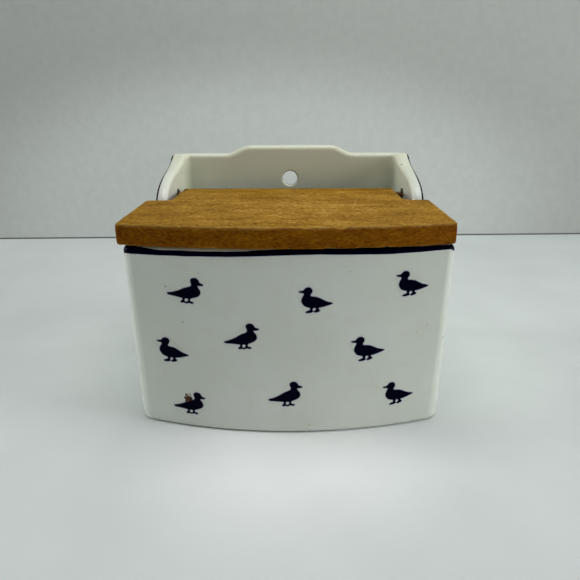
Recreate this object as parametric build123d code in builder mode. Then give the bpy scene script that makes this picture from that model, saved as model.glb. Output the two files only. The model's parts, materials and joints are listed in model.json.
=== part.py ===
from build123d import *
from math import pi
import os

# ---------------------------------------------------------------------------
# Salt box: a glazed ceramic box with ears and a back plate, and a wooden lid on two pins.
# Millimetres. X runs across the front, Y from the front to the back, Z up.
# The origin is on the floor, midway across the box and midway along its depth.
# A setback is measured towards the back from the front corners of the rim.
# ---------------------------------------------------------------------------

# Plan of the ceramic box: flat back, nearly parallel sides, bowed front
overall_depth = 131.6  # front of the bulge at the base to the back face
rim_width = 152.0  # across the front corners at the rim
base_width = 150.4  # across the front corners at the base
back_width = 147.2  # across the back face
base_bow = 13.6  # how far the base bulges in front of its corners
rim_bow = 6.9  # the same at the rim
rim_lean = 1.3  # the rim's front corners stand this far in front of the base's
base_corner_radius = 8.9
rim_corner_radius = 5.0
back_corner_radius = 4.0
base_edge_radius = 2.5

# Walls
rim_height = 90.7
wall = 6.5
rear_wall = 9.0  # the sides' thickness where they meet the back plate
flare_setback = 76.0  # to where the sides start to thicken towards the back plate
floor_thickness = 7.0
inner_corner_radius = 3.0  # between the sides and the back plate
inner_corner_loss = 1 / 3  # of a wall's thickness, taken off a front corner's radius inside it
inner_floor_radius = 2.5
edge_radius = 2.8  # soft glazed top edges
back_skin = 0.05  # ground off the back, which leaves it flat
foot_inset = 6.0  # from the outline to the recess under the floor
foot_depth = 1.2

# Back plate, with a raised centre
plate_thickness = 7.0
plate_height = 120.0
crest_height = 124.8
crest_half_width = 24.5  # half of the raised centre's level top
crest_foot = 40.0  # from the middle to where the raised centre's slopes end
crest_handle = 6.2  # how far the level stretches run on into each slope

# Ears: a cove up from the rim, a round front, a sloping shoulder, a cove up to the back plate
ear_setback = 62.5
ear_foot_radius = 3.0
ear_front_handle = 11.8  # how far the upright front edge runs on into the round
ear_shoulder_run = 29.5  # front edge to the shoulder
ear_shoulder_height = 112.9
ear_shoulder_slope = 0.2
ear_shoulder_handle = 15.8  # how far the slope runs on into the round and the cove
ear_corner_gap = 1.0  # the cove ends this far in front of the back plate
ear_corner_handle = 3.7

# Hanging hole in the back plate
hang_hole_radius = 4.5
hang_hole_height = 104.6
hang_lip_radius = 1.0

# Lid
lid_thickness = 10.2
lid_width = 153.6
lid_bow = 8.7
lid_front_setback = 0.2
notch_setback = 57.3  # to the rear of the lid's full-width part
tab_setback = 96.3  # to the rear of the tab
tab_width = 126.0
lid_shift = -1.2  # the lid stands near the left end of its side play
notch_radius = 4.0
lid_corner_radius = 1.0
lid_edge_radius = 0.6
rest_gap = 0.2  # between the rim and the lid

# Hinge
hinge_setback = 91.5
hinge_rise = 7.2  # rim to hinge axis
pin_radius = 1.5
pin_grip = 14.0  # length of each pin inside the lid
pin_bore_depth = 15.0
pin_tip = 0.8  # chamfer at the pin's end
pin_head_radius = 3.3
pin_head_rim = 0.4  # thickness of the head at its edge
pin_head_height = 1.3
side_play = 1.5  # each pin head to its ear when the lid is centred
ear_hole_radius = 2.75
ear_hole_gap = 0.25  # under the pin, which hangs low in its hole
ear_hole_lip = 0.4

# Places that follow from the dimensions
back_y = overall_depth / 2
plate_y = back_y - plate_thickness  # front face of the back plate
base_corner_y = base_bow - overall_depth / 2
rim_corner_y = base_corner_y - rim_lean
blank_z = crest_height + wall  # top of the blank that the box is trimmed from
clear_z = 2 * blank_z
flare_y = rim_corner_y + flare_setback
hinge_y = rim_corner_y + hinge_setback
hinge_z = rim_height + hinge_rise
ear_hole_z = hinge_z + ear_hole_radius - pin_radius - ear_hole_gap
hair = 0.01  # lengths closer than this are the same

# The ears' edge in side view, as places along Y and Z
ear_y = rim_corner_y + ear_setback
rim_end = (ear_y - ear_foot_radius, rim_height)
ear_front = (ear_y, rim_height + ear_foot_radius)
shoulder = (ear_y + ear_shoulder_run, ear_shoulder_height)
shoulder_rise = ear_shoulder_slope * ear_shoulder_handle
ear_corner = (plate_y - ear_corner_gap, plate_height)
round_handles = [
    (ear_y, ear_front[1] + ear_front_handle),
    (shoulder[0] - ear_shoulder_handle, shoulder[1] - shoulder_rise),
]
cove_handles = [
    (shoulder[0] + ear_shoulder_handle, shoulder[1] + shoulder_rise),
    (ear_corner[0] - ear_corner_handle, plate_height),
]


def at_height(base_value, rim_value, z):
    """A measure that changes evenly from the base to the rim, and on above the rim."""
    return base_value + (rim_value - base_value) * z / rim_height


def half_width(y, z):
    """Half of the width across the sides' outer faces, at a place y and a height z."""
    front_half = at_height(base_width, rim_width, z) / 2
    share = (y - rim_corner_y) / (back_y - rim_corner_y)
    return front_half + (back_width / 2 - front_half) * share


def plan(z, inset=0.0, rear_inset=0.0, back_inset=0.0, back_radius=back_corner_radius):
    """The box's outline at height z, drawn in by an inset at the front and sides.

    A larger rear inset bends the sides inwards, from the flare's start to the back.
    """
    half = at_height(base_width, rim_width, z) / 2 - inset
    back_half = back_width / 2 - inset
    front_y = at_height(base_corner_y, rim_corner_y, z) + inset
    rear_y = back_y - back_inset
    bow = at_height(base_bow, rim_bow, z)
    outer_radius = at_height(base_corner_radius, rim_corner_radius, z)
    side = Vector(back_half - half, rear_y - front_y)
    bend = Vector(half, front_y) + side * ((flare_y - front_y) / (rear_y - front_y))
    flared = rear_inset > inset
    rear_half = back_width / 2 - rear_inset if flared else back_half
    with BuildSketch(Plane.XY.offset(z)) as outline:
        with BuildLine():
            ThreePointArc((-half, front_y), (0, front_y - bow), (half, front_y))
            Line((-rear_half, rear_y), (rear_half, rear_y))
            for way in (-1, 1):
                corner = (way * half, front_y)
                rear = (way * rear_half, rear_y)
                if flared:
                    bent = (way * bend.X, bend.Y)
                    Line(corner, bent)
                    TangentArc(bent, rear, tangent=(way * side.X, side.Y))
                else:
                    Line(corner, rear)
        make_face()
        front_corners = outline.vertices().group_by(Axis.Y)[0]
        fillet(front_corners, outer_radius - inset * inner_corner_loss)
        back_corners = outline.vertices().group_by(Axis.Y)[-1]
        fillet(back_corners, back_radius)
    return outline.sketch


def hole_rims(part, radius):
    """The closed edges where holes of a radius come out of the walls."""
    around = 2 * pi * radius
    return [edge for edge in part.edges() if edge.is_closed and abs(edge.length - around) < hair]


# ---------------------------------------------------------------------------
# The space inside the box, which runs up in front of the back plate
# ---------------------------------------------------------------------------
with BuildPart() as salt_space:
    space_plans = [
        plan(z, wall, rear_wall, plate_thickness, inner_corner_radius)
        for z in (floor_thickness, blank_z)
    ]
    loft(sections=space_plans, ruled=True)
    fillet(salt_space.edges().group_by(Axis.Z)[0], inner_floor_radius)

# ---------------------------------------------------------------------------
# Ceramic box, trimmed from a blank as tall as the back plate
# ---------------------------------------------------------------------------
with BuildPart() as salt_box:
    loft(sections=[plan(z, back_inset=-back_skin) for z in (0, blank_z)], ruled=True)
    fillet(salt_box.edges().group_by(Axis.Z)[0], base_edge_radius)
    add(salt_space.part, mode=Mode.SUBTRACT)

    # Trim down to the rim and to the ears' curved edges
    with BuildSketch(Plane.YZ) as above_ears:
        with BuildLine():
            Polyline(
                rim_end,
                (-overall_depth, rim_height),
                (-overall_depth, clear_z),
                (ear_corner[0], clear_z),
                ear_corner,
            )
            TangentArc(rim_end, ear_front, tangent=(1, 0))
            Bezier(ear_front, *round_handles, shoulder)
            Bezier(shoulder, *cove_handles, ear_corner)
        make_face()
    extrude(amount=rim_width, both=True, mode=Mode.SUBTRACT)

    # Trim down to the back plate's top and its raised centre
    with BuildSketch(Plane.XZ) as above_plate:
        with BuildLine():
            Bezier(
                (crest_foot, plate_height),
                (crest_foot - crest_handle, plate_height),
                (crest_half_width + crest_handle, crest_height),
                (crest_half_width, crest_height),
            )
            Polyline(
                (crest_half_width, crest_height),
                (0, crest_height),
                (0, clear_z),
                (rim_width, clear_z),
                (rim_width, plate_height),
                (crest_foot, plate_height),
            )
        make_face()
        mirror(about=Plane.YZ)
    extrude(amount=overall_depth, both=True, mode=Mode.SUBTRACT)

    # Soft top edges inside and outside, but not the lines that cross a wall's thickness
    across_sides = [
        edge
        for edge in salt_box.edges().filter_by(Axis.X)
        if edge.center().Y < plate_y - ear_corner_gap / 2
    ]
    across_plate = salt_box.edges().filter_by(Axis.Y)
    top_edges = [
        edge
        for edge in salt_box.edges() - across_sides - across_plate
        if edge.bounding_box().min.Z > rim_height - edge_radius
    ]
    fillet(top_edges, edge_radius)

    # Back ground flat, to hang against a wall
    with Locations((0, back_y, 0)):
        behind = (Align.CENTER, Align.MIN, Align.MIN)
        Box(rim_width, wall, blank_z, align=behind, mode=Mode.SUBTRACT)

    # Recess under the floor, which leaves the ring that the box stands on
    extrude(plan(0, foot_inset, back_inset=foot_inset), amount=foot_depth, mode=Mode.SUBTRACT)

    # Hanging hole through the back plate
    with Locations(Plane(origin=(0, back_y, hang_hole_height), z_dir=(0, 1, 0))):
        Hole(hang_hole_radius, depth=2 * plate_thickness)
    fillet(hole_rims(salt_box, hang_hole_radius), hang_lip_radius)

    # Hinge holes through both ears
    with Locations(Plane(origin=(rim_width, hinge_y, ear_hole_z), z_dir=(1, 0, 0))):
        Hole(ear_hole_radius, depth=2 * rim_width)
    fillet(hole_rims(salt_box, ear_hole_radius), ear_hole_lip)

# ---------------------------------------------------------------------------
# Lid: one board, with a tab that reaches back between the ears
# ---------------------------------------------------------------------------
with BuildPart() as lid:
    half = lid_width / 2
    tab_half = tab_width / 2
    front_y = rim_corner_y + lid_front_setback
    notch_y = rim_corner_y + notch_setback
    tab_y = rim_corner_y + tab_setback
    with BuildSketch(Plane(origin=(lid_shift, 0, rim_height + rest_gap))) as board:
        with BuildLine():
            ThreePointArc((-half, front_y), (0, front_y - lid_bow), (half, front_y))
            Polyline(
                (half, front_y),
                (half, notch_y),
                (tab_half, notch_y),
                (tab_half, tab_y),
                (-tab_half, tab_y),
                (-tab_half, notch_y),
                (-half, notch_y),
                (-half, front_y),
            )
        make_face()
        tab_roots = board.vertices().group_by(Axis.Y)[1].sort_by(Axis.X)[1:3]
        corners = board.vertices() - tab_roots
        fillet(tab_roots, notch_radius)
        fillet(corners, lid_corner_radius)
    extrude(amount=lid_thickness)
    fillet(lid.faces().filter_by(Axis.Z).edges(), lid_edge_radius)

    # Blind holes in the tab's sides, which grip the hinge pins
    for side in (-1, 1):
        tab_side = lid_shift + side * tab_half
        with Locations(Plane(origin=(tab_side, hinge_y, hinge_z), z_dir=(side, 0, 0))):
            Hole(pin_radius, depth=pin_bore_depth)


# ---------------------------------------------------------------------------
# Hinge pins
# ---------------------------------------------------------------------------
def hinge_pin(side):
    """A domed nail from its tip inside the lid out through an ear: side is -1 or 1."""
    tip_x = lid_shift + side * (tab_width / 2 - pin_grip)
    head_x = lid_shift + side * (half_width(hinge_y, hinge_z) + side_play)
    length = abs(head_x - tip_x)
    along = Plane(origin=(tip_x, hinge_y, hinge_z), x_dir=(side, 0, 0), z_dir=(0, -side, 0))
    with BuildPart() as pin:
        with BuildSketch(along):
            with BuildLine():
                Polyline(
                    (length + pin_head_height, 0),
                    (0, 0),
                    (0, pin_radius - pin_tip),
                    (pin_tip, pin_radius),
                    (length, pin_radius),
                    (length, pin_head_radius),
                    (length + pin_head_rim, pin_head_radius),
                )
                EllipticalCenterArc(
                    (length + pin_head_rim, 0),
                    pin_head_height - pin_head_rim,
                    pin_head_radius,
                    start_angle=0,
                    arc_size=90,
                )
            make_face()
        revolve(axis=Axis((tip_x, hinge_y, hinge_z), (side, 0, 0)))
    return pin


hinge_pin_left = hinge_pin(-1)
hinge_pin_right = hinge_pin(1)

salt_box.part.label = "salt_box"
lid.part.label = "lid"
hinge_pin_left.part.label = "hinge_pin_left"
hinge_pin_right.part.label = "hinge_pin_right"

os.makedirs("parts", exist_ok=True)
export_step(salt_box.part, "parts/salt_box.step")
export_step(lid.part, "parts/lid.step")
export_step(hinge_pin_left.part, "parts/hinge_pin_left.step")
export_step(hinge_pin_right.part, "parts/hinge_pin_right.step")
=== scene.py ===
"""Looks of a glazed salt box with a hinged wooden lid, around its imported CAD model."""
import json
import math

import bpy
import numpy as np
from mathutils import Matrix, Vector, noise
from mathutils.bvhtree import BVHTree
from mathutils.geometry import delaunay_2d_cdt, interpolate_bezier
from mathutils.kdtree import KDTree


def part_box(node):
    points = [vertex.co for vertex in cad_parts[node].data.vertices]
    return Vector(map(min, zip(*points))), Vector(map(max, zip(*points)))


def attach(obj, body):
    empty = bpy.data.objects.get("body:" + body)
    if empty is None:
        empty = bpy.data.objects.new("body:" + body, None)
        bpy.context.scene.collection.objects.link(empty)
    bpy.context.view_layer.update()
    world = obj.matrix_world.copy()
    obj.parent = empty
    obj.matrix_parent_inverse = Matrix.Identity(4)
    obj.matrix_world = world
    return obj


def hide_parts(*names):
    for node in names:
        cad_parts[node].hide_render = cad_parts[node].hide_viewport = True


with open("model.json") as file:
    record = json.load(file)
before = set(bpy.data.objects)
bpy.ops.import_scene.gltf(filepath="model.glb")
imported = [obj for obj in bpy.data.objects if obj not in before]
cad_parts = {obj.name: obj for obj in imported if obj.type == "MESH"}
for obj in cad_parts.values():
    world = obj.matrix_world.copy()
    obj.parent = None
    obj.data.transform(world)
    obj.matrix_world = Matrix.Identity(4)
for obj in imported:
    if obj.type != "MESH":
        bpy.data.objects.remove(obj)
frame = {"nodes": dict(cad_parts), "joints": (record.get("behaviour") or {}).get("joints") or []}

# Lengths and places are in millimetres, in the CAD model's own frame, and are turned into
# metres where a mesh, a lamp or the camera is made. X runs across the front, Y from the
# front to the back and Z up.
MM = 0.001

# The ceramic box, as the CAD model has it
OVERALL_DEPTH = 131.6
RIM_WIDTH = 152.0
BASE_WIDTH = 150.4
BACK_WIDTH = 147.2
BASE_BOW = 13.6
RIM_BOW = 6.9
RIM_LEAN = 1.3
RIM_CORNER_RADIUS = 5.0
RIM_HEIGHT = 90.7
EDGE_RADIUS = 2.8
BACK_Y = OVERALL_DEPTH / 2
BASE_CORNER_Y = BASE_BOW - OVERALL_DEPTH / 2
RIM_CORNER_Y = BASE_CORNER_Y - RIM_LEAN

# The ears' edge in side view, as places along Y and Z
EAR_FOOT_RADIUS = 3.0
EAR_FRONT = (RIM_CORNER_Y + 62.5, RIM_HEIGHT + EAR_FOOT_RADIUS)
EAR_SHOULDER = (EAR_FRONT[0] + 29.5, 112.9)
EAR_CORNER = (57.8, 120.0)
EAR_ROUND = (EAR_FRONT, (EAR_FRONT[0], 105.5), (22.7, 109.7), EAR_SHOULDER)
EAR_COVE = (EAR_SHOULDER, (54.3, 116.1), (54.1, 120.0), EAR_CORNER)

HINGE_Y, HINGE_Z = (value / MM for value in frame["joints"][0]["pos_m"][1:])


# ---------------------------------------------------------------------------
# Small helpers
# ---------------------------------------------------------------------------
def at_height(base_value, rim_value, z):
    """A measure that changes evenly from the base to the rim, and on above the rim."""
    return base_value + (rim_value - base_value) * z / RIM_HEIGHT


def front_arc(z):
    """The bowed front's radius at a height z, and where its middle stands along Y."""
    half = at_height(BASE_WIDTH, RIM_WIDTH, z) / 2
    bow = at_height(BASE_BOW, RIM_BOW, z)
    radius = (half * half + bow * bow) / (2 * bow)
    return radius, at_height(BASE_CORNER_Y, RIM_CORNER_Y, z) - bow


def front_y(x, z):
    """Where the bowed front stands, at a width x and a height z."""
    radius, middle = front_arc(z)
    return middle + radius - math.sqrt(radius * radius - x * x)


def noise_at(x, y, z, size, seed):
    """Smooth noise from -1 to 1 whose bumps are about one size apart."""
    return noise.noise(Vector((x / size + seed, y / size - seed, z / size + 2 * seed)))


def steps_between(start, end, count):
    """Evenly spaced values from the start on, without the end."""
    return [start + (end - start) * i / count for i in range(count)]


def make_piece(name, vertices, faces):
    """A new mesh object from points in millimetres."""
    mesh = bpy.data.meshes.new(name)
    mesh.from_pydata([Vector(vertex) * MM for vertex in vertices], [], faces)
    mesh.update()
    piece = bpy.data.objects.new(name, mesh)
    bpy.context.scene.collection.objects.link(piece)
    return piece


def float_attribute(mesh, name, values):
    """Gives each vertex a value that a material can read by its name."""
    attribute = mesh.attributes.new(name, "FLOAT", "POINT")
    attribute.data.foreach_set("value", np.asarray(values, np.float32))


def shade_smooth(mesh):
    """Shades every face smooth."""
    mesh.polygons.foreach_set("use_smooth", [True] * len(mesh.polygons))
    mesh.update()


# ---------------------------------------------------------------------------
# Node materials
# ---------------------------------------------------------------------------
class Finish:
    """A procedural material, built node by node around one Principled shader."""

    def __init__(self, name):
        self.material = bpy.data.materials.new(name)
        self.material.use_nodes = True
        self.tree = self.material.node_tree
        self.shader = self.tree.nodes["Principled BSDF"]
        self.place = self.add("ShaderNodeTexCoord", {}).outputs["Object"]

    def put(self, value, socket):
        """Links a socket, or sets a plain value."""
        if isinstance(value, bpy.types.NodeSocket):
            self.tree.links.new(value, socket)
        else:
            socket.default_value = value

    def add(self, kind, inputs, **settings):
        """A new node with its inputs, by number or name, and its settings."""
        node = self.tree.nodes.new(kind)
        for name, value in settings.items():
            setattr(node, name, value)
        for key, value in inputs.items():
            self.put(value, node.inputs[key])
        return node

    def surface(self, **inputs):
        """Fills the shader's inputs, named in lower case with underscores."""
        for key, value in inputs.items():
            self.put(value, self.shader.inputs[key.replace("_", " ").title()])

    def math(self, operation, *values):
        return self.add("ShaderNodeMath", dict(enumerate(values)), operation=operation).outputs[0]

    def plus(self, value, other, weight):
        """A value to which another is added by a weight."""
        return self.math("ADD", value, self.math("MULTIPLY", other, weight))

    def vector_math(self, operation, *values, output="Vector"):
        node = self.add("ShaderNodeVectorMath", dict(enumerate(values)), operation=operation)
        return node.outputs[output]

    def part_of(self, vector, axis):
        return self.add("ShaderNodeSeparateXYZ", {0: vector}).outputs[axis]

    def ramp(self, value, low, high, start=0.0, end=1.0):
        """A value that goes smoothly from start to end as another goes from low to high."""
        inputs = {"Value": value, "From Min": low, "From Max": high, "To Min": start, "To Max": end}
        node = self.add("ShaderNodeMapRange", inputs, interpolation_type="SMOOTHSTEP")
        return node.outputs["Result"]

    def mix(self, factor, colour_a, colour_b, blend="MIX"):
        node = self.add("ShaderNodeMix", {0: factor}, data_type="RGBA", blend_type=blend)
        for socket, value in ((node.inputs[6], colour_a), (node.inputs[7], colour_b)):
            self.put((*value, 1.0) if isinstance(value, tuple) else value, socket)
        return node.outputs[2]

    def noise(self, sizes, detail=2.0, roughness=0.5, vector=None, shift=0.0):
        """Noise from 0 to 1 whose bumps measure about sizes, in millimetres along X, Y and Z."""
        scale = tuple(1 / (size * MM) for size in sizes)
        place = self.vector_math("MULTIPLY", vector or self.place, scale)
        place = self.vector_math("ADD", place, (shift, shift, shift))
        inputs = {"Vector": place, "Scale": 1.0, "Detail": detail, "Roughness": roughness}
        return self.add("ShaderNodeTexNoise", inputs).outputs["Fac"]

    def far_from(self, centre, stretch):
        """The distance in millimetres from a place, shorter along an axis that is stretched."""
        away = self.vector_math("SUBTRACT", self.place, tuple(value * MM for value in centre))
        away = self.vector_math("DIVIDE", away, tuple(value * MM for value in stretch))
        return self.vector_math("LENGTH", away, output="Value")

    def attribute(self, name):
        return self.add("ShaderNodeAttribute", {}, attribute_name=name).outputs["Fac"]

    def bump(self, height, depth, normal=None):
        """A normal that follows a height from 0 to 1, where 1 stands depth millimetres proud."""
        inputs = {"Height": height, "Distance": depth * MM, "Strength": 1.0}
        if normal is not None:
            inputs["Normal"] = normal
        return self.add("ShaderNodeBump", inputs).outputs["Normal"]


GLAZE_WHITE = (0.786, 0.828, 0.752)
GLAZE_SHADE = (0.752, 0.792, 0.700)
GLAZE_STAIN = (0.720, 0.722, 0.590)
GLAZE_AGED = (0.985, 0.985, 0.870)  # the yellowing over the ears and the back plate
AGED_Y = (8.0, 55.0)  # where the yellowing starts and is full
GLAZE_CORNER_SHADE = (0.77, 0.78, 0.75)  # painted shade in the corners between the ears and the back plate
CORNER_SHADE_X = (50.0, 66.0, 68.0, 70.0)  # where it starts and is full, and where it fades and ends
CORNER_SHADE_Y = (50.0, 57.5, 60.0, 62.0)
CORNER_SHADE_TOP = (108.0, 119.0)  # the heights where it fades and ends
GLAZE_SHINE = 0.5
BISCUIT = (0.56, 0.50, 0.40)
INK_NAVY = (0.0003, 0.0003, 0.0080)
INK_COBALT = (0.0008, 0.0010, 0.0260)
INK_BLEED = (0.38, 0.36, 0.60)
INK_SHINE = 0.02
RUST_STAIN = (0.16, 0.065, 0.018)
STAIN_X = 68.0  # within an ear's wall, nearer to its inner face
STAIN_DROP = 0.8  # from the pin's middle down to the stain's
STAIN_REACH = (3.6, 3.6, 3.9)
CHIP_BROWN = (0.15, 0.038, 0.004)
CHIP_DARK = (0.020, 0.010, 0.006)
SPECK_BROWN = (0.09, 0.075, 0.045)
FOOT_GLAZE_LINE = 0.12  # up to here the foot is bare
MARK_DEPTH = 6.0  # the stretch of the front's marks along Y, into the wall

# Specks: places along X and Z with a radius on the front, and along X, Y and Z on the ears
FRONT_SPECKS = (
    (-56.5, 72.5, 0.42), (-49.3, 55.5, 0.34), (-40.7, 79.4, 0.26), (74.0, 44.6, 0.42),
    (64.8, 52.7, 0.26), (59.9, 49.4, 0.22), (9.5, 4.5, 0.26), (27.6, 80.3, 0.24),
    (12.2, 47.3, 0.18),
)
EAR_SPECKS = ((-66.1, 48.0, 109.6, 0.60), (67.6, 46.4, 114.4, 0.65))
CHIP_AT = (-49.3, 15.8)  # along X and Z
CHIP_SIZE = (2.9, 2.6)


def painted_corner_shade(finish, colour):
    """Painted shade in the corners between the ears and the back plate."""
    across, back, height = (finish.part_of(finish.place, axis) for axis in "XYZ")
    corner_shade = finish.ramp(height, CORNER_SHADE_TOP[0] * MM, CORNER_SHADE_TOP[1] * MM, 1.0, 0.0)
    for value, reach in ((finish.math("ABSOLUTE", across), CORNER_SHADE_X), (back, CORNER_SHADE_Y)):
        start, full, fading, end = (place * MM for place in reach)
        corner_shade = finish.math("MULTIPLY", corner_shade, finish.ramp(value, start, full))
        corner_shade = finish.math("MULTIPLY", corner_shade, finish.ramp(value, fading, end, 1.0, 0.0))
    return finish.mix(corner_shade, colour, GLAZE_CORNER_SHADE, blend="MULTIPLY")


def pin_rust(finish, colour):
    """Rust that has run from the pins over the ears' faces."""
    rough = finish.noise((1.6, 1.6, 2.4), detail=4, shift=3.0)
    for side in (-1, 1):
        near = finish.far_from((side * STAIN_X, HINGE_Y, HINGE_Z - STAIN_DROP), STAIN_REACH)
        stain = finish.ramp(finish.plus(near, rough, 0.9), 1.0, 1.75, 0.85, 0.0)
        colour = finish.mix(stain, colour, RUST_STAIN)
    return colour


def iron_specks(finish, colour):
    """Small iron specks under the glaze."""
    deep, even = (1.0, MARK_DEPTH, 1.0), (1.0, 1.0, 1.0)
    specks = [((x, front_y(x, z), z), deep, radius) for x, z, radius in FRONT_SPECKS]
    specks += [((x, y, z), even, radius) for x, y, z, radius in EAR_SPECKS]
    for place, stretch, radius in specks:
        near = finish.far_from(place, stretch)
        speck = finish.ramp(near, radius * 0.5, radius * 1.3, 0.8, 0.0)
        colour = finish.mix(speck, colour, SPECK_BROWN)
    return colour


def cobalt_painting(finish, colour):
    """The painting: a dense line with a faint bleed around it."""
    ink = finish.attribute("ink")
    brush = finish.noise((1.1, 1.1, 1.1), detail=3, shift=9.0)
    colour = finish.mix(finish.ramp(ink, 0.0, 0.75, 0.0, 0.55), colour, INK_BLEED)
    paint = finish.mix(finish.ramp(brush, 0.50, 0.85), INK_NAVY, INK_COBALT)
    edge = finish.plus(ink, finish.math("SUBTRACT", brush, 0.5), 0.25)
    return finish.mix(finish.ramp(edge, 0.72, 0.90), colour, paint)


def brown_chip(finish, colour):
    """A ragged chip beside one painted figure, gone brown, and a mask of where it is."""
    x, z = CHIP_AT
    width, height = CHIP_SIZE
    near = finish.far_from((x, front_y(x, z), z), (width, MARK_DEPTH, height))
    crumbs = finish.noise((1.1, 1.1, 1.1), detail=3, shift=15.0)
    chip = finish.ramp(finish.plus(near, crumbs, 2.2), 1.70, 1.95, 0.97, 0.0)
    crumb = finish.mix(finish.ramp(crumbs, 0.38, 0.56), CHIP_DARK, CHIP_BROWN)
    return finish.mix(chip, colour, crumb), chip


def glaze_finish(name, shine):
    """White glaze over clay, with the cobalt painting, specks, stains and a bare foot."""
    finish = Finish(name)
    cloud = finish.noise((38, 38, 30), detail=3)
    colour = finish.mix(finish.ramp(cloud, 0.35, 0.70), GLAZE_WHITE, GLAZE_SHADE)
    stain = finish.noise((11, 30, 9), detail=4, roughness=0.6, shift=13.0)
    colour = finish.mix(finish.ramp(stain, 0.52, 0.75, 0.0, 0.35), colour, GLAZE_STAIN)
    aged = finish.ramp(finish.part_of(finish.place, "Y"), AGED_Y[0] * MM, AGED_Y[1] * MM)
    colour = finish.mix(aged, colour, GLAZE_AGED, blend="MULTIPLY")
    # Painted shade in the ears' corners, then rust, specks and the cobalt painting
    for layer in (painted_corner_shade, pin_rust, iron_specks, cobalt_painting):
        colour = layer(finish, colour)
    colour, chip = brown_chip(finish, colour)

    # The foot stands unglazed
    height = finish.part_of(finish.place, "Z")
    bare = finish.ramp(height, FOOT_GLAZE_LINE * MM, 2 * FOOT_GLAZE_LINE * MM, 1.0, 0.0)
    colour = finish.mix(bare, colour, BISCUIT)

    gloss = finish.ramp(cloud, 0.2, 0.8, 0.09, 0.15)
    gloss = finish.math("MAXIMUM", gloss, finish.math("MULTIPLY", bare, 0.75))
    gloss = finish.math("MAXIMUM", gloss, finish.math("MULTIPLY", chip, 0.9))
    ripple = finish.noise((9, 9, 9), detail=2, shift=5.0)
    peel = finish.noise((1.3, 1.3, 1.3), detail=1, shift=7.0)
    normal = finish.bump(peel, 0.004, finish.bump(ripple, 0.05))
    finish.surface(base_color=colour, roughness=gloss, normal=normal)
    finish.shader.inputs["Specular IOR Level"].default_value = shine
    return finish.material


# Dark, middle and light tones of the board's flat faces and of its edges
WOOD_TOP = ((0.125, 0.047, 0.0015), (0.332, 0.170, 0.014), (0.600, 0.370, 0.075))
WOOD_SIDE = ((0.120, 0.033, 0.0006), (0.232, 0.076, 0.0015), (0.370, 0.150, 0.005))
WOOD_PAINTED_SHADE = (0.87, 0.82, 0.46)  # painted shade towards the ends and the hinge, which leaves the middle lighter
WOOD_SHADE_X = (34.0, 74.0)  # how far from the middle it starts and is full
WOOD_SHADE_Y = (-10.0, 42.0)  # the same from the front to the back
# Pale wear, which along the top edges also stands for a painted highlight
WOOD_WEAR_AND_HIGHLIGHT = (0.56, 0.36, 0.10)
WOOD_DIRT = (0.045, 0.020, 0.005)
WOOD_SHINE = 0.035
GRAIN_SWAY = 14.0  # how far the grain wanders from straight
DASH_FROM = Vector((-42.6, -25.3, 101.0))
DASH_TO = Vector((-35.8, -20.4, 101.0))
DASH_HALF_WIDTH = 1.0
SCRATCH_FROM = Vector((39.9, 24.0, 101.0))
SCRATCH_TO = Vector((31.0, -25.1, 101.0))
SCRATCH_HALF_WIDTH = 0.35
MARKS_Z = (98.0, 100.0)  # the heights where the marks start and are full
TAB_REAR_Y = 42.8
TAB_REAR_DARKENING = (0.6, 3.2)  # how far in front of it the darkening is full and ends
TAB_CORNER_LEFT = (-64.2, 36.0, 101.0)
TAB_CORNER_REACH = (3.6, 9.0, 8.0)


def three_tone(finish, value, tones):
    """Dark, middle and light tones of a wood, by a value from 0 to 1."""
    dark, middle, light = tones
    colour = finish.mix(finish.ramp(value, 0.40, 0.50), dark, middle)
    return finish.mix(finish.ramp(value, 0.50, 0.62), colour, light)


def streak(finish, start, end, half_width, ragged):
    """How near a place is to a straight mark: below 1 within it, and rising outwards."""
    along = (end - start).normalized()
    away = finish.vector_math("SUBTRACT", finish.place, tuple((start + end) / 2 * MM))
    lengthways = finish.vector_math("DOT_PRODUCT", away, tuple(along), output="Value")
    across = (-along.y, along.x, 0.0)
    sideways = finish.vector_math("DOT_PRODUCT", away, across, output="Value")
    run = finish.math("DIVIDE", lengthways, (end - start).length / 2 * MM)
    off = finish.math("DIVIDE", sideways, half_width * MM)
    near = finish.math("ADD", finish.math("MULTIPLY", run, run), finish.math("MULTIPLY", off, off))
    return finish.plus(near, ragged, 0.8)


def board_colour(finish, grain):
    """Paler flat faces with painted shade towards the hinge and the ends, and dark edges."""
    facing = finish.add("ShaderNodeTexCoord", {}).outputs["Normal"]
    upward = finish.ramp(finish.math("ABSOLUTE", finish.part_of(facing, "Z")), 0.55, 0.85)
    across = finish.math("ABSOLUTE", finish.part_of(finish.place, "X"))
    ends = finish.ramp(across, WOOD_SHADE_X[0] * MM, WOOD_SHADE_X[1] * MM)
    back = finish.part_of(finish.place, "Y")
    rear = finish.ramp(back, WOOD_SHADE_Y[0] * MM, WOOD_SHADE_Y[1] * MM)
    top = three_tone(finish, grain, WOOD_TOP)
    # Painted shade over the top, towards the ends and the hinge
    top = finish.mix(finish.math("MAXIMUM", rear, ends), top, WOOD_PAINTED_SHADE, blend="MULTIPLY")
    return finish.mix(upward, three_tone(finish, grain, WOOD_SIDE), top)


def board_marks(finish, colour, flecks):
    """The short dark mark and the faint pale scratch, in the top and not in the underside."""
    high = finish.ramp(finish.part_of(finish.place, "Z"), MARKS_Z[0] * MM, MARKS_Z[1] * MM)
    dash = streak(finish, DASH_FROM, DASH_TO, DASH_HALF_WIDTH, flecks)
    dash = finish.ramp(dash, 0.7, 1.4, 0.8, 0.0)
    colour = finish.mix(finish.math("MULTIPLY", dash, high), colour, WOOD_DIRT)
    scratch = streak(finish, SCRATCH_FROM, SCRATCH_TO, SCRATCH_HALF_WIDTH, flecks)
    scratch = finish.ramp(scratch, 0.7, 1.4, 0.45, 0.0)
    return finish.mix(finish.math("MULTIPLY", scratch, high), colour, WOOD_WEAR_AND_HIGHLIGHT)


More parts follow.
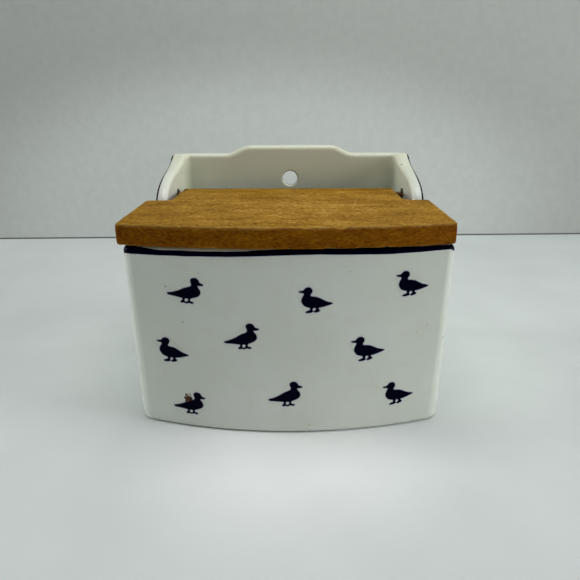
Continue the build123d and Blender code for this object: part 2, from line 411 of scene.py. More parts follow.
def board_dirt(finish, colour, patches):
    """Dirt and rust where the left pin goes in, and a darker band along the tab's rear edge."""
    near = finish.far_from(TAB_CORNER_LEFT, TAB_CORNER_REACH)
    corner = finish.ramp(finish.plus(near, patches, 1.1), 0.9, 1.6, 0.9, 0.0)
    colour = finish.mix(corner, colour, WOOD_DIRT)
    rear = finish.math("SUBTRACT", TAB_REAR_Y * MM, finish.part_of(finish.place, "Y"))
    rear = finish.ramp(rear, TAB_REAR_DARKENING[0] * MM, TAB_REAR_DARKENING[1] * MM, 0.55, 0.0)
    return finish.mix(rear, colour, WOOD_DIRT)


def wood_finish():
    """Worn honey-coloured board, its grain along X, with old varnish left on its sides."""
    finish = Finish("worn_wood")
    sway = finish.noise((45, 18, 18), detail=2, shift=2.0)
    sway = finish.math("MULTIPLY", finish.math("SUBTRACT", sway, 0.5), GRAIN_SWAY * MM)
    swayed = finish.add("ShaderNodeCombineXYZ", {1: sway, 2: sway}).outputs[0]
    place = finish.vector_math("ADD", finish.place, swayed)
    rings = finish.noise((130, 7.0, 7.0), detail=3, roughness=0.6, vector=place)
    fibres = finish.noise((6.5, 1.5, 1.3), detail=4, roughness=0.7, vector=place, shift=4.0)
    flecks = finish.noise((1.9, 1.1, 0.9), detail=3, roughness=0.65, vector=place, shift=11.0)
    pores = finish.noise((5.5, 0.33, 0.33), detail=2, roughness=0.5, vector=place, shift=8.0)
    patches = finish.noise((22, 12, 9), detail=4, roughness=0.6, shift=6.0)
    grain = finish.math("MULTIPLY", rings, 0.18)
    for part, weight in ((fibres, 0.25), (flecks, 0.38), (patches, 0.20)):
        grain = finish.plus(grain, part, weight)
    colour = board_colour(finish, grain)

    # Pale wear and a painted highlight along the top edges, and the dirt that has settled in the pores
    wear = finish.attribute("wear")
    colour = finish.mix(finish.math("MULTIPLY", wear, 0.6), colour, WOOD_WEAR_AND_HIGHLIGHT)
    colour = finish.mix(finish.ramp(pores, 0.30, 0.40, 0.55, 0.0), colour, WOOD_DIRT)
    colour = board_marks(finish, colour, flecks)
    colour = board_dirt(finish, colour, patches)

    gloss = finish.ramp(grain, 0.3, 0.7, 0.62, 0.50)
    relief = finish.plus(finish.math("MULTIPLY", fibres, 0.6), pores, 0.4)
    saw = finish.noise((0.8, 30, 30), detail=2, shift=1.0)
    normal = finish.bump(saw, 0.03, finish.bump(relief, 0.10))
    finish.surface(base_color=colour, roughness=gloss, normal=normal)
    finish.shader.inputs["Specular IOR Level"].default_value = WOOD_SHINE
    return finish.material


RUST_DARK = (0.035, 0.018, 0.010)
RUST_LIGHT = (0.210, 0.085, 0.026)
BARE_STEEL = (0.30, 0.28, 0.26)


def rust_finish():
    """Old steel nail, mostly rusted."""
    finish = Finish("rusty_steel")
    crust = finish.noise((1.2, 1.2, 1.2), detail=5, roughness=0.65)
    colour = finish.mix(finish.ramp(crust, 0.35, 0.65), RUST_DARK, RUST_LIGHT)
    bright = finish.ramp(crust, 0.30, 0.22)
    colour = finish.mix(bright, colour, BARE_STEEL)
    gloss = finish.ramp(crust, 0.25, 0.45, 0.35, 0.85)
    finish.surface(base_color=colour, roughness=gloss, metallic=bright, normal=finish.bump(crust, 0.12))
    return finish.material


# ---------------------------------------------------------------------------
# Painting on the glaze
# ---------------------------------------------------------------------------
PAINT_PROUD = 0.05  # over the ceramic's mesh
PAINT_SUNK = 0.30  # under it, where the skin is closed
PAINT_TILT = 0.0595  # how much the figures' shading faces down, away from the overhead lamp
BLEED_WIDTH = 0.8
FILL_STEP = 1.6  # between the points inside a figure, which keep it on the curve
FIGURE_WIDTH = 15.8  # of the two ducks as they are drawn
FIGURE_HEIGHT = 12.4
BODY_STEPS = 3  # between two drawn points
LEG_STEPS = 2

# Two standing ducks, drawn looking to the right around their middles: the back from the
# tail's tip to the bill's tip, the bill's underside to the chin, the breast and belly back
# to the tail, and two legs that are set in. The figures that look left are the level duck.
SLOPING_DUCK = (
    (
        (-8.05, -3.05), (-7.3, -2.65), (-6.3, -2.4), (-5.2, -1.95), (-4.2, -1.5), (-3.2, -1.0),
        (-2.2, -0.4), (-1.2, 0.25), (-0.3, 0.8), (0.7, 1.25), (1.7, 1.65), (2.45, 2.15),
        (2.75, 2.75), (2.65, 3.5), (2.35, 4.3), (2.2, 5.0), (2.45, 5.65), (3.05, 6.1),
        (3.9, 6.3), (4.75, 6.15), (5.4, 5.7), (5.85, 5.1), (6.2, 4.5), (6.9, 4.15), (8.05, 3.8),
    ),
    ((8.05, 3.8), (7.6, 3.4), (6.6, 3.2), (5.8, 3.15), (5.35, 2.9)),
    (
        (5.35, 2.9), (5.5, 2.4), (6.0, 1.75), (6.6, 1.0), (6.95, 0.1), (6.95, -0.7), (6.6, -1.45),
        (5.95, -2.1), (5.1, -2.6), (4.1, -3.05), (3.0, -3.5), (1.5, -3.8), (0.0, -3.9),
        (-1.8, -3.85), (-3.5, -3.7), (-5.2, -3.6), (-6.8, -3.55), (-7.6, -3.4), (-8.05, -3.05),
    ),
    (
        (1.9, -3.3), (2.0, -4.6), (1.85, -5.15), (1.4, -5.6), (1.0, -5.9), (1.2, -6.25),
        (1.7, -6.05), (2.15, -5.75), (2.9, -5.85), (3.7, -6.0), (4.25, -5.8), (4.3, -5.5),
        (3.8, -5.28), (3.0, -5.15), (2.6, -4.8), (2.6, -4.3), (2.85, -3.3),
    ),
    (
        (-0.6, -3.6), (-0.6, -4.7), (-0.85, -5.2), (-1.25, -5.6), (-1.4, -6.0), (-1.1, -6.3),
        (-0.5, -6.15), (0.2, -6.0), (0.8, -6.2), (1.3, -6.2), (1.4, -5.9), (0.95, -5.75),
        (0.35, -5.5), (0.1, -5.1), (0.1, -4.5), (0.3, -3.6),
    ),
)
LEVEL_DUCK = (
    (
        (-7.8, -0.8), (-7.0, -0.5), (-6.0, -0.3), (-5.0, -0.05), (-4.0, 0.35), (-3.0, 0.8),
        (-2.0, 1.3), (-1.0, 1.7), (0.0, 1.9), (1.1, 2.0), (2.1, 2.1), (2.6, 2.4), (2.6, 3.0),
        (2.3, 3.6), (1.95, 4.3), (1.95, 5.0), (2.2, 5.6), (2.75, 6.1), (3.5, 6.3), (4.3, 6.2),
        (4.95, 5.85), (5.45, 5.25), (6.0, 4.7), (6.8, 4.45), (7.95, 4.3),
    ),
    ((7.95, 4.3), (7.5, 3.85), (6.5, 3.7), (5.7, 3.6), (5.4, 3.25)),
    (
        (5.4, 3.25), (5.5, 2.7), (5.85, 2.0), (6.2, 1.2), (6.4, 0.3), (6.35, -0.6), (5.95, -1.4),
        (5.3, -2.2), (4.5, -2.7), (3.5, -3.0), (2.3, -3.2), (0.8, -3.2), (-0.7, -3.1),
        (-2.0, -2.9), (-3.4, -2.55), (-4.6, -2.15), (-5.6, -1.75), (-6.8, -1.3), (-7.8, -0.8),
    ),
    (
        (2.25, -2.9), (2.2, -4.1), (2.5, -4.6), (3.2, -4.9), (3.9, -5.2), (4.2, -5.5),
        (3.9, -5.75), (3.0, -5.75), (2.0, -5.55), (1.35, -5.35), (1.15, -5.0), (1.3, -4.4),
        (1.25, -2.9),
    ),
    (
        (-0.3, -2.9), (-0.5, -3.8), (-0.3, -4.35), (0.15, -4.8), (0.3, -5.15), (0.05, -5.45),
        (-0.6, -5.3), (-1.3, -5.05), (-1.9, -4.8), (-2.1, -4.4), (-1.9, -4.1), (-1.45, -3.9),
        (-1.2, -3.5), (-1.3, -2.8),
    ),
)

# Each figure's middle on the front, its width and height, the way it looks and its tilt
FIGURES = (
    (-47.3, 71.3, 16.0, 12.4, 1, -8.0),
    (12.2, 66.9, 15.6, 12.2, -1, 3.0),
    (56.3, 73.4, 15.3, 12.1, -1, 2.0),
    (-21.9, 49.7, 15.9, 12.3, 1, 0.0),
    (-55.2, 40.3, 15.7, 12.5, -1, 5.5),
    (36.9, 42.6, 15.8, 12.3, -1, 0.0),
    (-48.6, 13.6, 15.3, 11.8, 1, -3.5),
    (-1.8, 20.9, 15.7, 12.4, 1, 0.0),
    (52.7, 18.1, 15.1, 12.2, -1, 0.0),
)


def smooth_line(points, steps):
    """A curve through all the points, without its last point."""
    first = 2 * Vector(points[0]) - Vector(points[1])
    last = 2 * Vector(points[-1]) - Vector(points[-2])
    chain = [first, *map(Vector, points), last]
    line = []
    for before, start, end, after in zip(chain, chain[1:], chain[2:], chain[3:]):
        handle_a = start + (end - before) / 6
        handle_b = end - (after - start) / 6
        line += interpolate_bezier(start, handle_a, handle_b, end, steps + 1)[:-1]
    return [point.to_2d() for point in line]


def figure_outlines(width, height, way, tilt):
    """The closed outlines of one painted duck around its middle."""
    *strokes, leg, hind_leg = SLOPING_DUCK if way > 0 else LEVEL_DUCK
    body = [point for stroke in strokes for point in smooth_line(stroke, BODY_STEPS)]
    legs = [smooth_line((*outline, outline[0]), LEG_STEPS) for outline in (leg, hind_leg)]
    stretch = Vector((way * width / FIGURE_WIDTH, height / FIGURE_HEIGHT))
    turn = Matrix.Rotation(way * math.radians(tilt), 2)
    return [[turn @ (point * stretch) for point in shape] for shape in (body, *legs)]


def widened(outline, by):
    """A closed outline moved outwards, and kept open at sharp tips."""
    area = sum(a.cross(b) for a, b in zip(outline, outline[1:] + outline[:1]))
    outward = math.copysign(1.0, area)
    wide = []
    for before, point, after in zip(outline[-1:] + outline, outline, outline[1:] + outline[:1]):
        way = (after - before).normalized()
        wide.append(point + Vector((way.y, -way.x)) * by * outward)
    return wide


def inside(point, outline):
    """True if a point lies within a closed outline."""
    within = False
    for a, b in zip(outline, outline[1:] + outline[:1]):
        if (a.y > point.y) != (b.y > point.y):
            if point.x < a.x + (point.y - a.y) / (b.y - a.y) * (b.x - a.x):
                within = not within
    return within


def distance_to(point, outline):
    """How far a point is from an outline's line."""
    nearest = math.inf
    for a, b in zip(outline, outline[1:] + outline[:1]):
        share = (point - a).dot(b - a) / max((b - a).length_squared, 1e-12)
        nearest = min(nearest, (point - a - (b - a) * min(max(share, 0.0), 1.0)).length)
    return nearest


def surface_of(ceramic):
    """The ceramic's mesh in millimetres, for finding places on it."""
    places = [vertex.co / MM for vertex in ceramic.data.vertices]
    return BVHTree.FromPolygons(places, [tuple(face.vertices) for face in ceramic.data.polygons])


def front_place(surface, x, z):
    """The place on the bowed front at a width x and a height z, and its paint's normal."""
    radius, _ = front_arc(z)
    place = surface.ray_cast(Vector((x, -OVERALL_DEPTH, z)), Vector((0, 1, 0)))[0]
    return place, Vector((x / radius, -1.0, -PAINT_TILT)).normalized()


def open_sides(faces):
    """The sides that only one face has, in that face's order."""
    sides = {}
    for face in faces:
        for a, b in zip(face, (*face[1:], face[0])):
            if (b, a) in sides:
                del sides[(b, a)]
            else:
                sides[(a, b)] = True
    return list(sides)


def closed_skin(name, places, normals, faces, ink):
    """A thin closed skin that stands a hair proud of the ceramic and is sunk into it."""
    count = len(places)
    outer = [place + normal * PAINT_PROUD for place, normal in zip(places, normals)]
    inner = [place - normal * PAINT_SUNK for place, normal in zip(places, normals)]
    backs = [tuple(count + index for index in reversed(face)) for face in faces]
    walls = [(b, a, count + a, count + b) for a, b in open_sides(faces)]
    piece = make_piece(name, outer + inner, [*faces, *backs, *walls])
    float_attribute(piece.data, "ink", [*ink, *ink])
    shade_smooth(piece.data)
    split = [tuple(normal) for normal in normals] + [tuple(-normal) for normal in normals]
    piece.data.normals_split_custom_set_from_vertices(split)
    return piece


def figure_points(outlines, width, height):
    """A figure's outlines with their bleed and a fill of points, and the outlines' lines."""
    points, lines = [], []
    for outline in outlines + [widened(outline, BLEED_WIDTH) for outline in outlines]:
        start = len(points)
        points += outline
        lines += [(start + i, start + (i + 1) % len(outline)) for i in range(len(outline))]
    columns, rows = int(width / FILL_STEP), int(height / FILL_STEP)
    for column in range(-columns, columns + 1):
        for row in range(-rows, rows + 1):
            point = Vector((column * FILL_STEP, row * FILL_STEP))
            if inside(point, outlines[0]) and distance_to(point, outlines[0]) > FILL_STEP / 4:
                points.append(point)
    return points, lines


def paint_figure(name, surface, x, z, width, height, way, tilt):
    """One painted duck with its bleed, laid on the front's curve."""
    outlines = figure_outlines(width, height, way, tilt)
    points, lines = figure_points(outlines, width, height)
    flat, _, faces, _, _, _ = delaunay_2d_cdt(points, lines, [], 0, 1e-5)
    away = []
    for point in flat:
        within = any(inside(point, outline) for outline in outlines)
        away.append(0.0 if within else min(distance_to(point, outline) for outline in outlines))

    # The faces that lie within the bleed are kept, with the points that they use
    reach = BLEED_WIDTH * 1.02
    kept = [face for face in faces if max(away[index] for index in face) < reach]
    used = sorted({index for face in kept for index in face})
    order = {index: place for place, index in enumerate(used)}
    kept = [tuple(order[index] for index in face) for face in kept]
    laid = [front_place(surface, x + flat[index].x, z + flat[index].y) for index in used]
    ink = [1.0 - min(away[index] / BLEED_WIDTH, 1.0) for index in used]
    places, normals = zip(*laid)
    return closed_skin(name, places, normals, kept, ink)


# The painted line along the rim: the steps that its course is made of
RIM_STEP = 1.5
CORNER_STEPS = 10
FOOT_STEPS = 8
ROUND_STEPS = 28
COVE_STEPS = 22


def bezier_places(curve, steps):
    """Places along Y and Z on a Bezier curve, with both of its ends."""
    points = interpolate_bezier(*(Vector((*point, 0.0)) for point in curve), steps + 1)
    return [(point.x, point.y) for point in points]


def side_x(y, z):
    """Half of the width across the sides' outer faces."""
    front_half = at_height(BASE_WIDTH, RIM_WIDTH, z) / 2
    share = (y - RIM_CORNER_Y) / (BACK_Y - RIM_CORNER_Y)
    return front_half + (BACK_WIDTH / 2 - front_half) * share


def turned(centre, radius, turns):
    """Places round a centre at the rim's height, each with the outward normal there."""
    places = []
    for turn in turns:
        normal = Vector((math.sin(turn), -math.cos(turn), 0))
        places.append((Vector((*centre, RIM_HEIGHT)) + normal * radius, normal))
    return places


def ear_edge(side_start):
    """The side's top edge and then the ear's edge, as places along Y and Z."""
    side_end = EAR_FRONT[0] - EAR_FOOT_RADIUS
    side_steps = int((side_end - side_start) / RIM_STEP)
    edge = [(y, RIM_HEIGHT) for y in steps_between(side_start, side_end, side_steps)]
    for turn in steps_between(0.0, math.pi / 2, FOOT_STEPS):
        rise = EAR_FOOT_RADIUS * (1 - math.cos(turn))
        edge.append((side_end + EAR_FOOT_RADIUS * math.sin(turn), RIM_HEIGHT + rise))
    return edge + bezier_places(EAR_ROUND, ROUND_STEPS)[:-1] + bezier_places(EAR_COVE, COVE_STEPS)


def half_rim():
    """Places along the outer top edge, from the front's middle to the right ear's top.

    Each has the outward normal of the wall under it.
    """
    radius, middle = front_arc(RIM_HEIGHT)
    centre = Vector((0, middle + radius))
    slope = Vector(((BACK_WIDTH - RIM_WIDTH) / 2, BACK_Y - RIM_CORNER_Y)).normalized()
    outward = Vector((slope.y, -slope.x))

    # The corner's centre is one radius inside the side and inside the front's arc
    start = Vector((RIM_WIDTH / 2, RIM_CORNER_Y)) - outward * RIM_CORNER_RADIUS
    ahead = (start - centre).dot(slope)
    short = (start - centre).length_squared - (radius - RIM_CORNER_RADIUS) ** 2
    corner = start + slope * (-ahead - math.sqrt(ahead * ahead - short))
    front_turn = math.atan2(corner.x - centre.x, centre.y - corner.y)
    side_turn = math.atan2(outward.x, -outward.y)

    front_steps = int(front_turn * radius / RIM_STEP)
    rim = turned(centre, radius, steps_between(0.0, front_turn, front_steps))
    rim += turned(corner, RIM_CORNER_RADIUS, steps_between(front_turn, side_turn, CORNER_STEPS))
    edge = ear_edge((corner + outward * RIM_CORNER_RADIUS).y)
    normal = Vector((*outward, 0))
    return rim + [(Vector((side_x(y, z), y, z)), normal) for y, z in edge]


def whole_rim():
    """The outer top edge from the left ear's top, round the front, to the right ear's top."""
    right = half_rim()
    flip = Vector((-1, 1, 1))
    left = [(place * flip, normal * flip) for place, normal in right[:0:-1]]
    return left + right


# How deep under the rim's top the line's lower edge runs, at places across the front
TRIM_LOW = (
    (-76.0, 4.2), (-74.0, 3.3), (-66.0, 3.4), (-45.0, 3.6), (-25.0, 3.4), (-14.0, 3.0),
    (4.0, 2.45), (14.0, 2.3), (30.0, 2.6), (46.0, 2.75), (58.0, 2.35), (66.0, 2.0),
    (73.0, 1.8), (75.5, 3.2), (76.0, 3.4),
)
TRIM_HIGH = 0.25  # its upper edge, close under the lid
TRIM_HIGH_LEFT = 1.40  # the same where white shows above it, left of the middle
TRIM_HIGH_EAR = (  # the same on the sides and the ears, at places along Y
    (-40.0, 0.40), (14.0, 0.34), (17.2, 0.28), (21.0, 0.20), (25.3, 0.19), (30.0, 0.24),
    (35.0, 0.26), (41.0, 0.42), (46.0, 0.52), (49.7, 0.52), (52.3, 0.34), (54.2, 0.28), (57.8, 0.20),
)
TRIM_DROP = (-72.0, -56.0)  # where the upper edge goes down, from the left corner
TRIM_CLIMB = (-30.0, 3.0)  # where it comes up again
TRIM_FADE = 0.35  # beyond each edge, where the ink runs out
TRIM_WOBBLE = 0.09
TRIM_LEAST = 0.05  # the upper edge stays this deep at least
TRIM_ROWS = 13  # of points across the line, the faded sides among them


def smooth_step(value, low, high):
    """From 0 at low to 1 at high."""
    share = min(max((value - low) / (high - low), 0.0), 1.0)
    return share * share * (3 - 2 * share)


def run_of(depth):
    """How far down the rounded edge, along its surface, a depth under its top lies."""
    if depth >= EDGE_RADIUS:
        return EDGE_RADIUS * (math.pi / 2 - 1) + depth
    return EDGE_RADIUS * math.acos(1 - max(depth, 0.0) / EDGE_RADIUS)


def round_edge(place, along, outward, run):
    """The place and normal at a run down the rounded edge and the wall below."""
    down = along.cross(outward)
    middle = place + (down - outward) * EDGE_RADIUS
    turn = min(run / EDGE_RADIUS, math.pi / 2)
    normal = outward * math.sin(turn) - down * math.cos(turn)
    beyond = max(run - EDGE_RADIUS * math.pi / 2, 0.0)
    return middle + normal * EDGE_RADIUS + down * beyond, normal


def trim_depths(place, run):
    """How deep under the rim's top the painted line starts and ends."""
    wobble = noise_at(run, 0, 0, 7.0, 3.7) + 0.5 * noise_at(run, 0, 0, 2.5, 8.2)
    low = float(np.interp(place.x, *zip(*TRIM_LOW))) + TRIM_WOBBLE * wobble
    if place.y > RIM_CORNER_Y + RIM_CORNER_RADIUS:
        high = float(np.interp(place.y, *zip(*TRIM_HIGH_EAR)))
    else:
        dropped = smooth_step(place.x, *TRIM_DROP) - smooth_step(place.x, *TRIM_CLIMB)
        high = TRIM_HIGH + (TRIM_HIGH_LEFT - TRIM_HIGH) * dropped
    wobble = noise_at(run, 5, 0, 6.0, 1.3) + 0.4 * noise_at(run, 5, 0, 2.0, 4.1)
    return max(high + TRIM_WOBBLE * wobble, TRIM_LEAST), low


def trim_runs(place, run):
    """How far down the edge each row of the painted line lies, with its two faded sides."""
    high, low = (run_of(depth) for depth in trim_depths(place, run))
    inner = steps_between(high, low, TRIM_ROWS - 3)
    return [max(high - TRIM_FADE, 0.0), *inner, low, low + TRIM_FADE]


def paint_trim(name, surface, reach):
    """The hand-painted line round the outer edge of the rim and ears, no wider than its reach."""
    rim = whole_rim()
    places, normals = [], []
    for index, (place, outward) in enumerate(rim):
        ahead = rim[min(index + 1, len(rim) - 1)][0] - rim[max(index - 1, 0)][0]
        for run in trim_runs(place, index * RIM_STEP):
            spot, normal = round_edge(place, ahead.normalized(), outward, run)
            places.append(surface.find_nearest(spot)[0])
            normals.append(normal)
    faces = []
    for column in range(len(rim) - 1):
        for row in range(TRIM_ROWS - 1):
            corner = column * TRIM_ROWS + row
            faces.append((corner, corner + 1, corner + TRIM_ROWS + 1, corner + TRIM_ROWS))
    ink = [0.0, *[1.0] * (TRIM_ROWS - 2), 0.0] * len(rim)
    piece = closed_skin(name, places, normals, faces, ink)
    for vertex in piece.data.vertices:
        vertex.co.x = min(max(vertex.co.x, -reach), reach)
    return piece


# ---------------------------------------------------------------------------
# Lid
# ---------------------------------------------------------------------------
BOARD_VOXEL = 0.6  # the size of the rebuilt board's quads
BOARD_MIDDLE_Z = 96.0
FLAT_NORMAL = 0.96  # from here up a normal's Z part is that of a flat face
WALL_NORMAL = 0.30  # and down from here that of a side
WEAR_REACH = 1.2
RUB_MEAN = 0.55
RUB_LEAST = 0.05
RUB_NOISES = ((0.45, 11.0, 1.0), (0.35, 3.5, 2.0))  # the strength, size and seed of each
WEAR_ROUNDS = 3
WEAR_SHARE = 0.7  # of the way to the neighbours' mean, in one round
GRAIN_SIZE = (14.0, 1.5, 1.5)
GRAIN_DEPTH = 0.03
BEND_SIZE = 34.0
BEND_DEPTH = 0.04
DENT_SIZE = 4.5
DENT_DEPTH = 1.7
DENT_FROM = 0.18  # the noise above this is a dent
DENTS_TO_Y = RIM_CORNER_Y + 1.0  # the front edge alone is dented


def remeshed(source, voxel):
    """A copy of an object's mesh, rebuilt as even quads."""
    work = bpy.data.objects.new("remesh_work", source.data.copy())
    bpy.context.scene.collection.objects.link(work)
    modifier = work.modifiers.new("voxels", "REMESH")
    modifier.mode = "VOXEL"
    modifier.voxel_size = voxel * MM
    graph = bpy.context.evaluated_depsgraph_get()
    mesh = bpy.data.meshes.new_from_object(work.evaluated_get(graph))
    bpy.data.objects.remove(work)
    return mesh


def spread(edges, values):
    """The mean of each vertex's neighbours."""
    count = len(values)
    total = np.zeros_like(values)
    number = np.zeros(count)
    for a, b in ((0, 1), (1, 0)):
        number += np.bincount(edges[:, a], minlength=count)
        for axis in range(values.shape[1]):
            total[:, axis] += np.bincount(edges[:, a], values[edges[:, b], axis], count)
    return total / number[:, None]


def rubbed(co, normals):
    """How much each vertex is worn, from 0 to 1, and how pale the top edges show, from wear and a
    painted highlight.
    """
    tilt = np.abs(normals[:, 2])
    sharp = np.flatnonzero((tilt > WALL_NORMAL) & (tilt < FLAT_NORMAL))
    tree = KDTree(len(sharp))
    for order, index in enumerate(sharp):
        tree.insert(co[index], order)
    tree.balance()
    wear, wear_and_highlight = np.zeros(len(co)), np.zeros(len(co))
    for index, (x, y, z) in enumerate(co):
        near = math.exp(-((tree.find(co[index])[2] / WEAR_REACH) ** 2))
        rub = RUB_MEAN
        for strength, size, seed in RUB_NOISES:
            rub += strength * noise_at(x, y, z, size, seed)
        wear[index] = near * min(max(rub, RUB_LEAST), 1.0)
        # The top edges' pale wear, with a painted highlight
        if z > BOARD_MIDDLE_Z:
            wear_and_highlight[index] = near ** 3 * min(max(rub, 0.0), 1.0)
    return wear, wear_and_highlight


def sunk(x, y, z, wear):
    """How deep a place lies by the grain, the board's unevenness and the dents in its front."""
    grain = noise.noise(Vector(part / size for part, size in zip((x, y, z), GRAIN_SIZE)))
    bend = noise_at(x, y, 0, BEND_SIZE, 5.0)
    depth = GRAIN_DEPTH * (1 + grain) + BEND_DEPTH * (1 + bend)
    if y < DENTS_TO_Y:
        depth += DENT_DEPTH * max(noise_at(x, y, z, DENT_SIZE, 7.0) - DENT_FROM, 0.0) * wear
    return depth


def worn_board(name, source):
    """The lid's board: edges rubbed round unevenly, a few dents, and grain that stands out."""
    mesh = remeshed(source, BOARD_VOXEL)
    co = np.empty(len(mesh.vertices) * 3)
    mesh.vertices.foreach_get("co", co)
    co = co.reshape(-1, 3) / MM
    edges = np.empty(len(mesh.edges) * 2, int)
    mesh.edges.foreach_get("vertices", edges)
    edges = edges.reshape(-1, 2)
    normals = np.array([vertex.normal for vertex in mesh.vertices])
    wear, wear_and_highlight = rubbed(co, normals)
    for _ in range(WEAR_ROUNDS):
        co += (spread(edges, co) - co) * (WEAR_SHARE * wear)[:, None]
    depths = np.array([sunk(*place, worn) for place, worn in zip(co, wear)])
    co -= normals * depths[:, None]
    mesh.vertices.foreach_set("co", (co * MM).astype(np.float32).ravel())
    mesh.materials.clear()
    board = bpy.data.objects.new(name, mesh)
    bpy.context.scene.collection.objects.link(board)
    # The top edges' pale wear and painted highlight, for the material
    float_attribute(mesh, "wear", wear_and_highlight)
    shade_smooth(mesh)
    return board


# ---------------------------------------------------------------------------
# Hinge pins
# ---------------------------------------------------------------------------
PIN_SEGMENTS = 40
PIN_RADIUS = 1.5
PIN_CAP_RADIUS = 0.35  # of the small flat at each end
PIN_TIP = 0.8  # how far the tip tapers
PIN_PITTING = 0.10  # how deep the rust has eaten
SHANK_STEPS = 30
HEAD_RADIUS = 3.3
HEAD_UNDERSIDE = 2.4  # the radius of a ring in the head's flat underside
HEAD_CHAMFER = 0.1
HEAD_RIM = 0.4
HEAD_HEIGHT = 1.3
HEAD_STEPS = 8


def pin_profile(length):
    """Places along the pin and their radii, from the tip inside the lid to the head's top."""
    shank = [(along, PIN_RADIUS) for along in steps_between(PIN_TIP, length, SHANK_STEPS)]
    underside = [(length, PIN_RADIUS), (length, HEAD_UNDERSIDE), (length, HEAD_RADIUS - HEAD_CHAMFER)]
    dome_foot = length + HEAD_RIM
    dome_rise = HEAD_HEIGHT - HEAD_RIM
    dome = []
    for turn in steps_between(0.0, math.pi / 2, HEAD_STEPS):
        dome.append((dome_foot + dome_rise * math.sin(turn), HEAD_RADIUS * math.cos(turn)))
    tip = [(0.0, PIN_CAP_RADIUS), (0.0, PIN_RADIUS - PIN_TIP)]
    head = [*underside, (length + HEAD_CHAMFER, HEAD_RADIUS), *dome]
    return [*tip, *shank, *head, (length + HEAD_HEIGHT, PIN_CAP_RADIUS)]


def rusty_pin(name, node, side):
    """A domed nail with a pitted surface, in the place of a CAD pin: side is -1 or 1."""
    low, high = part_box(node)
    tip_x = (high.x if side < 0 else low.x) / MM
    head_x = (low.x if side < 0 else high.x) / MM
    length = abs(head_x - tip_x) - HEAD_HEIGHT
    rings = pin_profile(length)
    places = []
    for along, radius in rings:
        for i in range(PIN_SEGMENTS):
            turn = 2 * math.pi * i / PIN_SEGMENTS
            x = tip_x + side * along
            pit = PIN_PITTING * max(noise_at(x, 3 * math.cos(turn), 3 * math.sin(turn), 1.1, side), 0.0)
            reach = radius - pit
            places.append((x, HINGE_Y + reach * math.cos(turn), HINGE_Z + reach * math.sin(turn)))
    faces = []
    for ring in range(len(rings) - 1):
        for i in range(PIN_SEGMENTS):
            a = ring * PIN_SEGMENTS + i
            b = ring * PIN_SEGMENTS + (i + 1) % PIN_SEGMENTS
            quad = (a, b, b + PIN_SEGMENTS, a + PIN_SEGMENTS)
            faces.append(quad if side > 0 else quad[::-1])
    first = tuple(range(PIN_SEGMENTS))
    last = tuple(index + (len(rings) - 1) * PIN_SEGMENTS for index in first)
    faces += [first[::-1], last] if side > 0 else [first, last[::-1]]
    pin = make_piece(name, places, faces)
    shade_smooth(pin.data)
    return pin


# ---------------------------------------------------------------------------
# Camera, floor, backdrop and lamps
# ---------------------------------------------------------------------------
CAMERA_AT = Vector((2.56, -298.61, 156.04))
CAMERA_PITCH = math.radians(19.47)  # below the horizon
CAMERA_YAW = math.radians(-0.47)  # towards +X
CAMERA_ROLL = math.radians(-0.26)
SENSOR_WIDTH = 36.0
FOCAL_PIXELS = 560.0
PICTURE_PIXELS = 580.0
BACKDROP_Y = 326.0
BACKDROP_TURN = 0.024  # how much further back it stands for each step towards +X
BACKDROP_GAP = (0.8, 2.2)  # the heights where the dark joint at its foot fades and ends
STAGE_HALF = 2500.0
# The floor's and the wall's colours inside and outside their painted pools of light
FLOOR_NEAR = (0.93, 0.96, 0.95)
FLOOR_FAR = (0.745, 0.80, 0.785)
WALL_NEAR = (0.680, 0.712, 0.680)
WALL_FAR = (0.470, 0.490, 0.464)
JOINT_DARK = (0.02, 0.025, 0.02)
NO_GAP = (-2.0, -1.0)  # heights under the stage

# The painted pool of light on a surface: its middle, its stretch, and how far from the middle it
# starts to darken and is darkest
FLOOR_LIGHT_POOL = ((0.0, -75.0, 0.0), (1.0, 1.0, 1.0), (20.0, 86.0))
WALL_LIGHT_POOL = ((-40.0, 320.0, 20.0), (1.6, 1.0, 0.8), (130.0, 250.0))

# Each lamp's name, its place, what it looks at, its side and its power in watts
LAMPS = (
    ("overhead", (40, -60, 620), (30, -60, 0), 420, 1.75),
    ("right", (1400, -240, 450), (0, 0, 90), 600, 9.8),
    ("left", (-1400, 230, 450), (0, 0, 90), 600, 12.0),
)
ROOM_COLOUR = (0.93, 0.96, 1.0, 1.0)
ROOM_STRENGTH = 0.11


def make_camera():
    """The photograph's camera."""
    data = bpy.data.cameras.new("camera")
    data.sensor_width = SENSOR_WIDTH
    data.lens = SENSOR_WIDTH * FOCAL_PIXELS / PICTURE_PIXELS
    data.clip_start = 0.01
    camera = bpy.data.objects.new("camera", data)
    turn = Matrix.Rotation(-CAMERA_YAW, 4, "Z")
    turn = turn @ Matrix.Rotation(math.pi / 2 - CAMERA_PITCH, 4, "X")
    turn = turn @ Matrix.Rotation(CAMERA_ROLL, 4, "Z")
    camera.matrix_world = Matrix.Translation(CAMERA_AT * MM) @ turn
    bpy.context.scene.collection.objects.link(camera)
    bpy.context.scene.camera = camera


def stage_finish(name, near_colour, far_colour, spot, grain, gap):
    """A pale matt surface with a painted pool of light around one place, and dark below a gap's
    heights.
    """
    finish = Finish(name)
    centre, stretch, (start, end) = spot
    away = finish.ramp(finish.far_from(centre, stretch), start, end)
    colour = finish.mix(away, near_colour, far_colour)
    cloud = finish.noise((grain, grain, grain), detail=3)
    colour = finish.mix(finish.ramp(cloud, 0.3, 0.7, 0.0, 0.05), colour, (0.0, 0.0, 0.0))
    height = finish.part_of(finish.place, "Z")
    colour = finish.mix(finish.ramp(height, gap[0] * MM, gap[1] * MM, 0.85, 0.0), colour, JOINT_DARK)
    finish.surface(base_color=colour, roughness=0.6)
    return finish.material


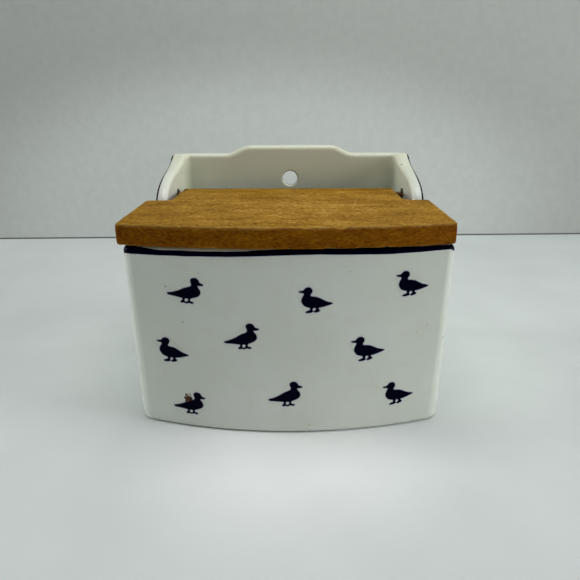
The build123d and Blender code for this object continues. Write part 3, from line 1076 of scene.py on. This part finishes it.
def make_stage():
    """The table, and the wall that stands on it behind the box."""
    half = STAGE_HALF
    left_y, right_y = (BACKDROP_Y + side * half * BACKDROP_TURN for side in (-1, 1))
    foot_left, foot_right = (-half, left_y, 0), (half, right_y, 0)
    near_left, near_right = (-half, -half, 0), (half, -half, 0)
    top_left, top_right = (-half, left_y, half), (half, right_y, half)
    face = [(0, 1, 2, 3)]
    floor = make_piece("floor", [near_left, near_right, foot_right, foot_left], face)
    wall = make_piece("backdrop", [foot_left, foot_right, top_right, top_left], face)
    table_finish = stage_finish("pale_table", FLOOR_NEAR, FLOOR_FAR, FLOOR_LIGHT_POOL, 60, NO_GAP)
    wall_finish = stage_finish("pale_wall", WALL_NEAR, WALL_FAR, WALL_LIGHT_POOL, 8, BACKDROP_GAP)
    floor.data.materials.append(table_finish)
    wall.data.materials.append(wall_finish)


def area_lamp(name, at, aim, size, power):
    """A square lamp that looks at a place."""
    data = bpy.data.lights.new(name, "AREA")
    data.size = size * MM
    data.energy = power
    lamp = bpy.data.objects.new(name, data)
    lamp.location = Vector(at) * MM
    lamp.rotation_euler = (Vector(aim) - Vector(at)).to_track_quat("-Z", "Y").to_euler()
    bpy.context.scene.collection.objects.link(lamp)


def make_light():
    """The lamps, and the room's own faint light."""
    for lamp in LAMPS:
        area_lamp(*lamp)
    world = bpy.data.worlds.new("room")
    world.use_nodes = True
    background = world.node_tree.nodes["Background"]
    background.inputs["Color"].default_value = ROOM_COLOUR
    background.inputs["Strength"].default_value = ROOM_STRENGTH
    bpy.context.scene.world = world


# ---------------------------------------------------------------------------
# Putting it together
# ---------------------------------------------------------------------------
def dress(piece, body, slot, material, *nodes):
    """Gives a piece its finish, the body it moves with and the CAD nodes it stands for."""
    piece.data.materials.clear()
    piece.data.materials.append(material)
    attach(piece, body)
    if nodes:
        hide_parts(*nodes)


def main():
    bpy.context.view_layer.update()
    make_camera()
    make_stage()
    make_light()
    nodes = frame["nodes"]
    glaze = glaze_finish("white_glaze", GLAZE_SHINE)
    paint = glaze_finish("cobalt_paint", INK_SHINE)
    wood, rust = wood_finish(), rust_finish()
    ceramic = nodes["salt_box"]
    ceramic.data.materials.clear()
    ceramic.data.materials.append(glaze)
    surface = surface_of(ceramic)
    for number, figure in enumerate(FIGURES, 1):
        duck = paint_figure(f"painted_duck_{number}", surface, *figure)
        dress(duck, "box", "glazed_ceramic", paint)
    reach = max(vertex.co.x for vertex in ceramic.data.vertices)
    dress(paint_trim("painted_rim_line", surface, reach), "box", "glazed_ceramic", paint)
    dress(worn_board("wooden_lid", nodes["lid"]), "lid", "lid_wood", wood, "lid")
    for side, word in ((-1, "left"), (1, "right")):
        pin = rusty_pin(f"rusty_pin_{word}", f"hinge_pin_{word}", side)
        dress(pin, "lid", "pin_steel", rust, f"hinge_pin_{word}")
    bpy.context.scene.view_settings.view_transform = "Standard"
    bpy.context.view_layer.update()


main()
